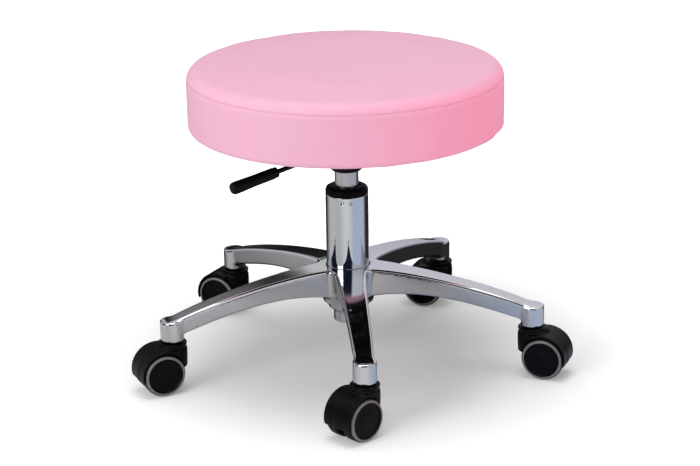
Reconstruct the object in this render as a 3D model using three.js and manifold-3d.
// Round upholstered stool on a short gas lift with a five-arm chrome base and twin-wheel casters.
// Millimetres, +Z up, arm 1 towards -Y. The floor is z = 0 and the bounding box's bottom centre
// is the origin.
import * as THREE from "three";
import { mergeVertices } from "three/addons/utils/BufferGeometryUtils.js";
import Module from "manifold-3d";

// ---- driving dimensions ---------------------------------------------------
// Radii end in _R. Heights above the floor end in _Z, _TOP, _BOTTOM or _END.
const AXIS_X = -0.065; // column axis, from the bounding box's bottom centre
const AXIS_Y = 22.605;
const FIT = 0.35; // radial play around the column, rod, bolts, stems and axles

const SEAT_R = 182; // cushion, 364 mm across
const SEAT_TOP = 365; // crown of the cushion, lift near its low end
const SEAT_BOTTOM = 289.5; // underside of the cover's turned-in edge
const SEAT_FLAT_R = 45; // flat middle of the crown
const SEAT_SLOPE_R = 140; // where the crown's gentle slope starts to round over
const COVER_T = 2.4; // cover with its backing
const FOLD_R = 152; // inner edge of the cover, stapled under the board
const FOLD_T = 1.3;
const BOARD_R = 174;
const BOARD_Z = 291.1;
const BOARD_T = 12;
const BOARD_TOP = BOARD_Z + BOARD_T;
const BOARD_HOLE_R = 4.8;
const FOAM_BOTTOM = BOARD_TOP + 1.9;
const DUST_R = 148;
const DUST_HOLE_R = 4.6;

const PLATE_W = 140; // square steel seat plate
const PLATE_CORNER = 16;
const PLATE_Z = 286.9;
const PLATE_T = 2.9;
const PLATE_HOLE_R = 3.5;
const SOCKET_Z = 239.5; // lower end of the plate's taper socket
const BOLT_XY = 54; // bolts at +-BOLT_XY on both sides
const BOLT_R = 2.9;
const BOLT_HEAD_R = 5.8; // hexagon, across corners
const BOLT_HEAD_H = 4;

const COLUMN_R = 25; // 50 mm outer tube
const COLUMN_BORE_R = 23.2;
const COLUMN_TOP = 208;
const COLUMN_END = 52; // lower end of the column under the hub
const COLUMN_FLOOR_T = 3;
const HUB_TOP = 121;
const HUB_BOTTOM = 76;
const HUB_R = 30;

const CYL_R = 14; // 28 mm gas cylinder
const CYL_BORE_R = 12;
const CYL_BOTTOM = 92;
const CYL_TOP = 256;
const CYL_HEAD_Z = 240; // underside of the closed upper end
const BUSH_BORE_R = CYL_R + 0.5;
const BUSH_BOTTOM = 150;
const BUSH_LIP_TOP = 217.5;
const ROD_R = 5;
const ROD_BORE_R = ROD_R + FIT;

const ARM_COUNT = 5;
const STEM_R_CIRCLE = 219.5; // circle of the caster stems
const ARM_SOCKET_R = 13.4; // caster socket at an arm's tip
const ARM_SOCKET_BORE_R = 6.4;
const ARM_SOCKET_BOTTOM = 59.8;
const ARM_SOCKET_TOP = 83;
const ARM_SOCKET_BORE_TOP = 80.5;
const CUT_PAST = 5; // how far the base's bores are cut beyond its faces
// Stations along an arm: radius, top, bottom, half width at the top, half width at the bottom.
const ARM = [
  [18, 119.6, 84, 15, 13],
  [36, 121, 87.5, 18.6, 16],
  [54, 120.4, 90.5, 16.6, 14.4],
  [78, 117.2, 91.2, 15, 13],
  [106, 112.4, 89, 13.9, 12],
  [136, 107.8, 85.6, 12.9, 11],
  [164, 101.6, 80, 12, 10.2],
  [190, 94.2, 72.6, 11, 9.6],
  [210, 88, 66.5, 10.2, 9],
  [224, 83.8, 63.5, 7, 6.5],
];
const ARM_TOP_EDGE = { across: 3.4, down: 4.5 }; // chamfers along the arm
const ARM_BOTTOM_EDGE = { across: 2, up: 2.5 };

const LEVER_AZ = 203; // direction the lever points in, degrees from +X
const LEVER_DROP = 11.65; // its slope below the horizontal, degrees
const LEVER_PIVOT_R = 22;
const LEVER_PIVOT_Z = 260.4;
const LEVER_ROD_R = 2.9;
const LEVER_TAIL = -25.5; // inner end of the rod, along the lever from its pivot
const LEVER_TIP = 118; // outer end of the rod
const LEVER_EYE_R = 4.6;
const LEVER_PIN_R = 1.5;
const LEVER_PIN_HOLE_R = 1.8;
const GRIP_START = 68; // along the lever from its pivot
const GRIP_END = 128;
const GRIP_BORE_END = 119.5;
const GRIP_R = 6.6;
const LUG_IN = 3.9; // lug faces, from the lever's middle plane
const LUG_OUT = 7.4;

const WHEEL_R = 25; // 50 mm wheels
const WHEEL_IN = 4.8; // inner face from the caster's middle plane
const WHEEL_OUT = 21.5; // outer face
const WHEEL_SEG = 24;
const WHEEL_BORE_R = 3.3;
const WHEEL_BORE_END = 18; // blind end of the bore, from the middle plane
const AXLE_R = 3;
const AXLE_HALF = 17.6;
const TRAIL = 17; // axle behind the stem
const HOOD_R = 17;
const HOOD_BOTTOM = 29;
const HOOD_TOP = 58.5;
const FENDER_IN_R = 26.6; // underside of the fender, about the axle
const FENDER_HALF = 20.8;
const WELL_R = 26.3; // space cut out around each wheel
const WELL_IN = WHEEL_IN - 0.5;
const WELL_OUT = 40;
const WEB_R = 27.2; // web's outer edge, inside the fender's skin
const WEB_HALF = 3.9;
const STEM_R = 5;
const STEM_BOTTOM = 49;
const STEM_TOP = 79.6;
// Direction each caster trails in at rest, degrees from +X, for arms 1 to 5.
const TRAIL_AZ = [220, -25, 156, 148, 201];

// ---- materials --------------------------------------------------------------
const finish = (color, metalness, roughness) =>
  new THREE.MeshStandardMaterial({ color, metalness, roughness });
const steel = finish(0xb8bcc2, 1, 0.15);
const dark = finish(0x151515, 0, 0.5);
const pink = finish(0xf2a6c4, 0, 0.6);
const pale = finish(0xd8c9a4, 0, 0.8);

// ---- solids -----------------------------------------------------------------
const wasm = await Module();
wasm.setup();
const rad = THREE.MathUtils.degToRad;

// A solid from a closed geometry, turned right side out if its faces point inwards.
function solidOf(shape) {
  if (shape instanceof wasm.Manifold) return shape;
  const loose = shape.index ? shape.toNonIndexed() : shape.clone();
  loose.deleteAttribute("normal");
  loose.deleteAttribute("uv");
  const merged = mergeVertices(loose, 1e-3);
  const vertProperties = merged.attributes.position.array;
  const triVerts = new Uint32Array(merged.index.array);
  const build = () =>
    new wasm.Manifold(new wasm.Mesh({ numProp: 3, vertProperties, triVerts }));
  const solid = build();
  if (solid.volume() >= 0) return solid;
  for (let i = 0; i < triVerts.length; i += 3) {
    [triVerts[i + 1], triVerts[i + 2]] = [triVerts[i + 2], triVerts[i + 1]];
  }
  return build();
}

function geometryOf(solid) {
  const mesh = solid.getMesh();
  const stride = mesh.numProp;
  const positions = new Float32Array(mesh.numVert * 3);
  for (let i = 0; i < mesh.numVert; i++) {
    positions.set(mesh.vertProperties.subarray(i * stride, i * stride + 3), i * 3);
  }
  return new THREE.BufferGeometry()
    .setAttribute("position", new THREE.BufferAttribute(positions, 3))
    .setIndex(new THREE.BufferAttribute(new Uint32Array(mesh.triVerts), 1));
}

const union = (first, ...others) =>
  others.reduce((solid, other) => solid.add(solidOf(other)), solidOf(first));

const cut = (solid, ...tools) =>
  tools.reduce((rest, tool) => rest.subtract(solidOf(tool)), solid);

// ---- shapes -----------------------------------------------------------------
const vectors = (points) => points.map(([x, y]) => new THREE.Vector2(x, y));

// A profile of [radius, height] pairs turned about the Z axis, from axis to axis.
const turned = (profile, seg = 32) =>
  new THREE.LatheGeometry(vectors(profile), seg).rotateX(Math.PI / 2);

// The same for a profile that stays clear of the axis and closes on itself.
const turnedLoop = (profile, seg) => turned([...profile, profile[0]], seg);

const ring = (inner, outer, z0, z1, seg = 24) =>
  turnedLoop([[inner, z0], [outer, z0], [outer, z1], [inner, z1]], seg);

const rod = (radius, z0, z1, seg = 24) =>
  turned([[0, z0], [radius, z0], [radius, z1], [0, z1]], seg);

// A cylinder along Y, through (x, z).
const crossRod = (radius, y0, y1, x, z, seg) =>
  new THREE.CylinderGeometry(radius, radius, y1 - y0, seg).translate(x, (y0 + y1) / 2, z);

const box = (x0, x1, y0, y1, z0, z1) =>
  new THREE.BoxGeometry(x1 - x0, y1 - y0, z1 - z0).translate(
    (x0 + x1) / 2,
    (y0 + y1) / 2,
    (z0 + z1) / 2,
  );

const extruded = (shape, depth, curveSegments) =>
  new THREE.ExtrudeGeometry(shape, { depth, bevelEnabled: false, curveSegments });

// A flat plate from a shape, between two heights.
const plate = (shape, z0, z1, curveSegments) =>
  extruded(shape, z1 - z0, curveSegments).translate(0, 0, z0);

// Convex sections with equal point counts joined one after the other, closed at both ends.
function loft(sections) {
  const positions = [];
  const triangle = (a, b, c) => positions.push(...a, ...b, ...c);
  const count = sections[0].length;
  for (let i = 0; i + 1 < sections.length; i++) {
    const here = sections[i];
    const next = sections[i + 1];
    for (let j = 0; j < count; j++) {
      const k = (j + 1) % count;
      triangle(here[j], here[k], next[k]);
      triangle(here[j], next[k], next[j]);
    }
  }
  const first = sections[0];
  const last = sections[sections.length - 1];
  for (let j = 1; j + 1 < count; j++) {
    triangle(first[0], first[j + 1], first[j]);
    triangle(last[0], last[j], last[j + 1]);
  }
  return new THREE.BufferGeometry().setAttribute(
    "position",
    new THREE.Float32BufferAttribute(positions, 3),
  );
}

const group = new THREE.Group();
group.name = "pedicure_stool";

// Pieces are drawn about the column axis and moved to its place here.
function add(name, shape, material) {
  const geometry = geometryOf(solidOf(shape)).translate(AXIS_X, AXIS_Y, 0);
  const mesh = new THREE.Mesh(geometry, material);
  mesh.name = name;
  group.add(mesh);
}

// ---- base -------------------------------------------------------------------
const armAngle = (i) => rad(-90 + (360 / ARM_COUNT) * i);
const arms = Array.from({ length: ARM_COUNT }, (_, i) => i);

// Moves a geometry from the column axis to arm i's caster stem.
const toStem = (geometry, i) =>
  geometry.translate(
    STEM_R_CIRCLE * Math.cos(armAngle(i)),
    STEM_R_CIRCLE * Math.sin(armAngle(i)),
    0,
  );

// Eight-sided cross-section of an arm at one station.
function armSection([radius, top, bottom, topHalf, bottomHalf]) {
  const lower = bottom + ARM_BOTTOM_EDGE.up;
  const upper = top - ARM_TOP_EDGE.down;
  const bottomFlat = bottomHalf - ARM_BOTTOM_EDGE.across;
  const topFlat = topHalf - ARM_TOP_EDGE.across;
  return [
    [radius, -bottomFlat, bottom],
    [radius, bottomFlat, bottom],
    [radius, bottomHalf, lower],
    [radius, topHalf, upper],
    [radius, topFlat, top],
    [radius, -topFlat, top],
    [radius, -topHalf, upper],
    [radius, -bottomHalf, lower],
  ];
}

function baseStar() {
  const hub = turned([
    [0, HUB_BOTTOM],
    [HUB_R - 2.5, HUB_BOTTOM],
    [HUB_R, HUB_BOTTOM + 5],
    [HUB_R, HUB_TOP - 3],
    [HUB_R - 2.5, HUB_TOP],
    [0, HUB_TOP],
  ]);
  const armParts = arms.flatMap((i) => [
    loft(ARM.map(armSection)).rotateZ(armAngle(i)),
    toStem(rod(ARM_SOCKET_R, ARM_SOCKET_BOTTOM, ARM_SOCKET_TOP), i),
  ]);
  const taperBore = turned([
    [0, HUB_BOTTOM - CUT_PAST],
    [24.4, HUB_BOTTOM - CUT_PAST],
    [COLUMN_R + FIT, HUB_TOP],
    [COLUMN_R + FIT, HUB_TOP + CUT_PAST],
    [0, HUB_TOP + CUT_PAST],
  ]);
  const stemBores = arms.map((i) =>
    toStem(
      rod(ARM_SOCKET_BORE_R, ARM_SOCKET_BOTTOM - CUT_PAST, ARM_SOCKET_BORE_TOP, 12),
      i,
    ),
  );
  return cut(union(hub, ...armParts), taperBore, ...stemBores);
}

// Tube tapering through the hub to a narrow cup with a holed floor.
function columnTube() {
  return turnedLoop([
    [5.6, COLUMN_END], [17.5, COLUMN_END], [17.5, 65], [23.5, 69], [24, 75],
    [COLUMN_R, HUB_TOP], [COLUMN_R, COLUMN_TOP],
    [COLUMN_BORE_R, COLUMN_TOP], [COLUMN_BORE_R, HUB_TOP],
    [22.2, 74.5], [21.6, 71], [15.6, 67],
    [15.6, COLUMN_END + COLUMN_FLOOR_T], [5.6, COLUMN_END + COLUMN_FLOOR_T],
  ]);
}

// Sleeve inside the column, with a lip that rests just above its top.
function guideBush() {
  return turnedLoop([
    [BUSH_BORE_R, BUSH_BOTTOM],
    [22.8, BUSH_BOTTOM],
    [22.8, COLUMN_TOP + 0.3],
    [COLUMN_R, COLUMN_TOP + 0.3],
    [COLUMN_R, COLUMN_TOP + 4.9],
    [23.8, COLUMN_TOP + 7.6],
    [20.5, BUSH_LIP_TOP],
    [BUSH_BORE_R, BUSH_LIP_TOP],
  ]);
}

add("base_star", baseStar(), steel);
add("column_tube", columnTube(), steel);
add("guide_bush", guideBush(), dark);

// ---- thrust bearing, rod and gas cylinder -------------------------------------
// Rings around the rod: name, inner radius, outer radius, bottom, top, material.
const ROD_RINGS = [
  ["bearing_lower_race", 6, 14.8, 55.3, 57, steel],
  ["bearing_cage", 6.2, 14.4, 57.3, 60, steel],
  ["bearing_upper_race", ROD_BORE_R, 14.6, 60.3, 62, steel],
  ["bump_stop", ROD_BORE_R, 12.5, 62.3, 73, dark],
  ["retaining_clip", ROD_BORE_R, 8.6, 49.4, 51.6, steel],
  ["piston", ROD_BORE_R, 11.4, 204, 216, dark],
  ["rod_gland", ROD_BORE_R, 11.7, CYL_BOTTOM + 0.3, 102, dark],
];

// Open below, with a holed head for the release pin and a slightly tapered upper end.
function gasCylinder() {
  return turnedLoop([
    [CYL_BORE_R, CYL_BOTTOM], [CYL_R, CYL_BOTTOM], [CYL_R, 238], [13.4, CYL_TOP],
    [4.4, CYL_TOP], [4.4, CYL_HEAD_Z], [CYL_BORE_R, CYL_HEAD_Z],
  ]);
}

function releasePin() {
  return turned([[0, 241], [4, 241], [4, 258.8], [2.2, 260.1], [2.2, 261], [0, 261]], 16);
}

for (const [name, inner, outer, bottom, top, material] of ROD_RINGS) {
  add(name, ring(inner, outer, bottom, top), material);
}
add("piston_rod", rod(ROD_R, 47.5, 217), steel);
add("gas_cylinder", gasCylinder(), steel);
add("release_pin", releasePin(), steel);

// ---- seat plate -------------------------------------------------------------
const BOLT_SIGNS = [[1, 1], [-1, 1], [-1, -1], [1, -1]];

function addBoltHoles(shape, radius) {
  for (const [signX, signY] of BOLT_SIGNS) {
    const hole = new THREE.Path();
    hole.absarc(BOLT_XY * signX, BOLT_XY * signY, radius, 0, 2 * Math.PI, true);
    shape.holes.push(hole);
  }
}

// Rounded square; each corner arc is joined to the one before by a straight side.
function plateOutline() {
  const half = PLATE_W / 2;
  const centre = half - PLATE_CORNER;
  const shape = new THREE.Shape();
  shape.moveTo(-centre, -half);
  shape.lineTo(centre, -half);
  [[1, -1], [1, 1], [-1, 1], [-1, -1]].forEach(([signX, signY], i) => {
    const start = ((i - 1) * Math.PI) / 2;
    const end = (i * Math.PI) / 2;
    shape.absarc(centre * signX, centre * signY, PLATE_CORNER, start, end);
  });
  addBoltHoles(shape, PLATE_HOLE_R);
  return shape;
}

const toLeverAz = (geometry) => geometry.rotateZ(rad(LEVER_AZ));
const pivotRod = (radius, half) =>
  toLeverAz(crossRod(radius, -half, half, LEVER_PIVOT_R, LEVER_PIVOT_Z, 12));

// Plate with a taper socket below it and two lugs for the lever's pin.
function seatPlate() {
  const socket = turned([
    [0, SOCKET_Z], [16.6, SOCKET_Z], [20.6, SOCKET_Z + 4], [22.5, 262], [25, 278],
    [31, PLATE_Z + 1.5], [0, PLATE_Z + 1.5],
  ]);
  const lug = (y0, y1) => toLeverAz(box(15, 27.5, y0, y1, 252, 269));
  const taperBore = turned([
    [0, SOCKET_Z - 3], [14.55, SOCKET_Z - 3], [13.85, 257.3], [17, 257.3],
    [17.5, PLATE_Z - 2.4], [0, PLATE_Z - 2.4],
  ]);
  const leverSlot = toLeverAz(box(8, 40, -LUG_IN, LUG_IN, 253.5, 270));
  return cut(
    union(
      plate(plateOutline(), PLATE_Z, PLATE_Z + PLATE_T, 4),
      socket,
      lug(LUG_IN, LUG_OUT),
      lug(-LUG_OUT, -LUG_IN),
    ),
    taperBore,
    leverSlot,
    pivotRod(LEVER_PIN_HOLE_R, 12),
  );
}

add("seat_plate", seatPlate(), dark);

// ---- lever --------------------------------------------------------------------
// Lever pieces are drawn with local x from the pivot outwards, then sloped down,
// moved to the pivot and turned to the lever's direction.
const placeLever = (geometry) =>
  toLeverAz(
    geometry.rotateY(rad(LEVER_DROP)).translate(LEVER_PIVOT_R, 0, LEVER_PIVOT_Z),
  );

// A profile of [radius, distance along the lever] pairs turned about the lever.
const turnedLever = (profile, seg) => placeLever(turned(profile, seg).rotateY(Math.PI / 2));

function leverRod() {
  const bar = turnedLever(
    [
      [0, LEVER_TAIL],
      [2.2, LEVER_TAIL],
      [LEVER_ROD_R, LEVER_TAIL + 1],
      [LEVER_ROD_R, LEVER_TIP],
      [0, LEVER_TIP],
    ],
    16,
  );
  const eye = placeLever(crossRod(LEVER_EYE_R, -3.4, 3.4, 0, 0, 20));
  const pinHole = placeLever(crossRod(LEVER_PIN_HOLE_R, -8, 8, 0, 0, 12));
  return cut(union(bar, eye), pinHole);
}

function leverGrip() {
  const bore = LEVER_ROD_R + FIT;
  return turnedLever(
    [
      [0, GRIP_BORE_END], [bore, GRIP_BORE_END], [bore, GRIP_START],
      [5.2, GRIP_START], [GRIP_R, GRIP_START + 1.5], [GRIP_R, 98], [7.3, 120],
      [6.9, GRIP_END - 2], [4.6, GRIP_END], [0, GRIP_END],
    ],
    20,
  );
}

add("lever_pin", pivotRod(LEVER_PIN_R, 7.2), steel);
add("lever_rod", leverRod(), steel);
add("lever_grip", leverGrip(), dark);

// ---- cushion --------------------------------------------------------------------
function boltedDisc(radius, holeRadius, z0, z1) {
  const disc = new THREE.Shape();
  disc.absarc(0, 0, radius, 0, 2 * Math.PI);
  addBoltHoles(disc, holeRadius);
  return plate(disc, z0, z1, 12);
}

function seatBolt(x, y) {
  const head = new THREE.CylinderGeometry(BOLT_HEAD_R, BOLT_HEAD_R, BOLT_HEAD_H, 6)
    .rotateX(Math.PI / 2)
    .translate(x, y, PLATE_Z - 0.3 - BOLT_HEAD_H / 2);
  const shank = rod(BOLT_R, PLATE_Z - 2, BOARD_Z + 11, 12).translate(x, y, 0);
  return union(head, shank);
}

// Barrel in the board's hole under a wide flange just above the board.
function tNut(x, y) {
  return turnedLoop(
    [
      [BOLT_R + FIT, BOARD_Z + 0.6],
      [4.4, BOARD_Z + 0.6],
      [4.4, BOARD_TOP + 0.3],
      [9, BOARD_TOP + 0.3],
      [9, BOARD_TOP + 1.5],
      [BOLT_R + FIT, BOARD_TOP + 1.5],
    ],
    12,
  ).translate(x, y, 0);
}

function seatFoam() {
  return turned(
    [
      [0, FOAM_BOTTOM],
      [SEAT_R - 6, FOAM_BOTTOM],
      [SEAT_R - 3.6, FOAM_BOTTOM + 3],
      [SEAT_R - 3.6, SEAT_TOP - 20],
      [SEAT_R - 5.4, SEAT_TOP - 14],
      [SEAT_R - 10.2, SEAT_TOP - 9.4],
      [SEAT_R - 17, SEAT_TOP - 6.6],
      [SEAT_SLOPE_R, SEAT_TOP - 4.4],
      [SEAT_FLAT_R, SEAT_TOP - COVER_T - 0.5],
      [0, SEAT_TOP - COVER_T - 0.5],
    ],
    48,
  );
}

// Outside from the crown down to the fold under the board, then back along the inside.
function seatCover() {
  return turned(
    [
      [0, SEAT_TOP],
      [SEAT_FLAT_R, SEAT_TOP],
      [SEAT_SLOPE_R, SEAT_TOP - 1.6],
      [SEAT_R - 16, SEAT_TOP - 3.6],
      [SEAT_R - 7.8, SEAT_TOP - 7],
      [SEAT_R - 2.4, SEAT_TOP - 12.4],
      [SEAT_R, SEAT_TOP - 20],
      [SEAT_R, SEAT_BOTTOM + 7],
      [SEAT_R - 1.4, SEAT_BOTTOM + 2.4],
      [SEAT_R - 5, SEAT_BOTTOM],
      [FOLD_R, SEAT_BOTTOM],
      [FOLD_R, SEAT_BOTTOM + FOLD_T],
      [SEAT_R - 5.4, SEAT_BOTTOM + FOLD_T],
      [SEAT_R - 2.8, SEAT_BOTTOM + 6],
      [SEAT_R - 2.8, SEAT_TOP - 20],
      [SEAT_R - 4.6, SEAT_TOP - 13.6],
      [SEAT_R - 9.8, SEAT_TOP - 8.8],
      [SEAT_R - 16.8, SEAT_TOP - 6],
      [SEAT_SLOPE_R, SEAT_TOP - 3.9],
      [SEAT_FLAT_R, SEAT_TOP - COVER_T],
      [0, SEAT_TOP - COVER_T],
    ],
    48,
  );
}

add("dust_cover", boltedDisc(DUST_R, DUST_HOLE_R, BOARD_Z - 1, BOARD_Z - 0.3), dark);
add("seat_board", boltedDisc(BOARD_R, BOARD_HOLE_R, BOARD_Z, BOARD_TOP), pale);
BOLT_SIGNS.forEach(([signX, signY], i) => {
  const x = BOLT_XY * signX;
  const y = BOLT_XY * signY;
  add(`seat_bolt_${i + 1}`, seatBolt(x, y), steel);
  add(`t_nut_${i + 1}`, tNut(x, y), steel);
});
add("seat_foam", seatFoam(), pale);
add("seat_cover", seatCover(), pink);

// ---- casters ----------------------------------------------------------------------
// Each caster is drawn with its stem on the Z axis and its axle trailing towards +X.
// Fender's outer edge about the axle: radius, degrees above the trailing direction.
const FENDER_OUTER = [
  [27.4, 6], [27.8, 14], [28, 28], [28.1, 42], [28.2, 56],
  [28.4, 70], [29, 84], [29.8, 98], [30.4, 112],
];

// A point in the caster's middle plane, given about the axle.
const aboutAxle = (radius, degrees) => [
  TRAIL + radius * Math.cos(rad(degrees)),
  WHEEL_R + radius * Math.sin(rad(degrees)),
];

// An outline of [x, z] points in the middle plane, extruded to both sides of it.
const across = (outline, half) =>
  extruded(new THREE.Shape(vectors(outline)), 2 * half)
    .rotateX(Math.PI / 2)
    .translate(0, half, 0);

function casterHood() {
  const neck = turned(
    [
      [0, HOOD_BOTTOM],
      [HOOD_R - 1, HOOD_BOTTOM],
      [HOOD_R, HOOD_BOTTOM + 2],
      [HOOD_R - 0.6, 52],
      [HOOD_R + 0.2, HOOD_TOP - 2],
      [HOOD_R, HOOD_TOP],
      [0, HOOD_TOP],
    ],
    20,
  );
  const fender = [
    ...FENDER_OUTER.map(([, degrees]) => aboutAxle(FENDER_IN_R, degrees)).reverse(),
    ...FENDER_OUTER.map(([radius, degrees]) => aboutAxle(radius, degrees)),
  ];
  const web = [
    [-13, 57],
    [10, 57],
    ...[62, 45, 28, 8].map((degrees) => aboutAxle(WEB_R, degrees)),
    [TRAIL + 12, 18],
    [TRAIL + 5, 15],
    [TRAIL - 5, 15],
    [TRAIL - 10, 19],
    [-13, 33],
  ];
  return cut(
    union(neck, across(fender, FENDER_HALF), across(web, WEB_HALF)),
    crossRod(WELL_R, WELL_IN, WELL_OUT, TRAIL, WHEEL_R, 24),
    crossRod(WELL_R, -WELL_OUT, -WELL_IN, TRAIL, WHEEL_R, 24),
    crossRod(AXLE_R + FIT, -10, 10, TRAIL, WHEEL_R, 12),
    rod(STEM_R + FIT, STEM_BOTTOM - 0.4, HOOD_TOP + 3, 12),
  );
}

// Stem with a thin collar just above the hood.
function casterStem() {
  return turned(
    [
      [0, STEM_BOTTOM], [STEM_R, STEM_BOTTOM],
      [STEM_R, HOOD_TOP + 0.3], [8.6, HOOD_TOP + 0.3],
      [8.6, HOOD_TOP + 1], [STEM_R, HOOD_TOP + 1],
      [STEM_R, STEM_TOP - 1], [STEM_R - 1, STEM_TOP], [0, STEM_TOP],
    ],
    12,
  );
}

// Wheel on the side of the middle plane given by the sign of y.
function casterWheel(side) {
  const rim = WHEEL_R / Math.cos(Math.PI / WHEEL_SEG); // flats lie at the true radius
  const profile = [
    [0, WHEEL_BORE_END], [WHEEL_BORE_R, WHEEL_BORE_END], [WHEEL_BORE_R, WHEEL_IN],
    [rim - 2, WHEEL_IN], [rim, WHEEL_IN + 2], [rim, WHEEL_OUT - 4.2],
    [rim - 1.2, WHEEL_OUT - 1.3], [rim - 3.4, WHEEL_OUT],
    [rim - 5.4, WHEEL_OUT - 1], [0, WHEEL_OUT - 1],
  ].map(([radius, y]) => [radius, y * side]);
  // Starting half a segment round puts a flat on the floor.
  return new THREE.LatheGeometry(vectors(profile), WHEEL_SEG, Math.PI / WHEEL_SEG)
    .translate(TRAIL, 0, WHEEL_R);
}

const casterParts = () => [
  ["hood", geometryOf(casterHood()), dark],
  ["stem", casterStem(), steel],
  ["ring", ring(5.3, 5.95, 64, 76, 12), steel],
  ["axle", crossRod(AXLE_R, -AXLE_HALF, AXLE_HALF, TRAIL, WHEEL_R, 12), steel],
  ["wheel_a", casterWheel(1), dark],
  ["wheel_b", casterWheel(-1), dark],
];

for (const i of arms) {
  for (const [part, geometry, material] of casterParts()) {
    const placed = toStem(geometry.rotateZ(rad(TRAIL_AZ[i])), i);
    add(`caster_${i + 1}_${part}`, placed, material);
  }
}

export default group;
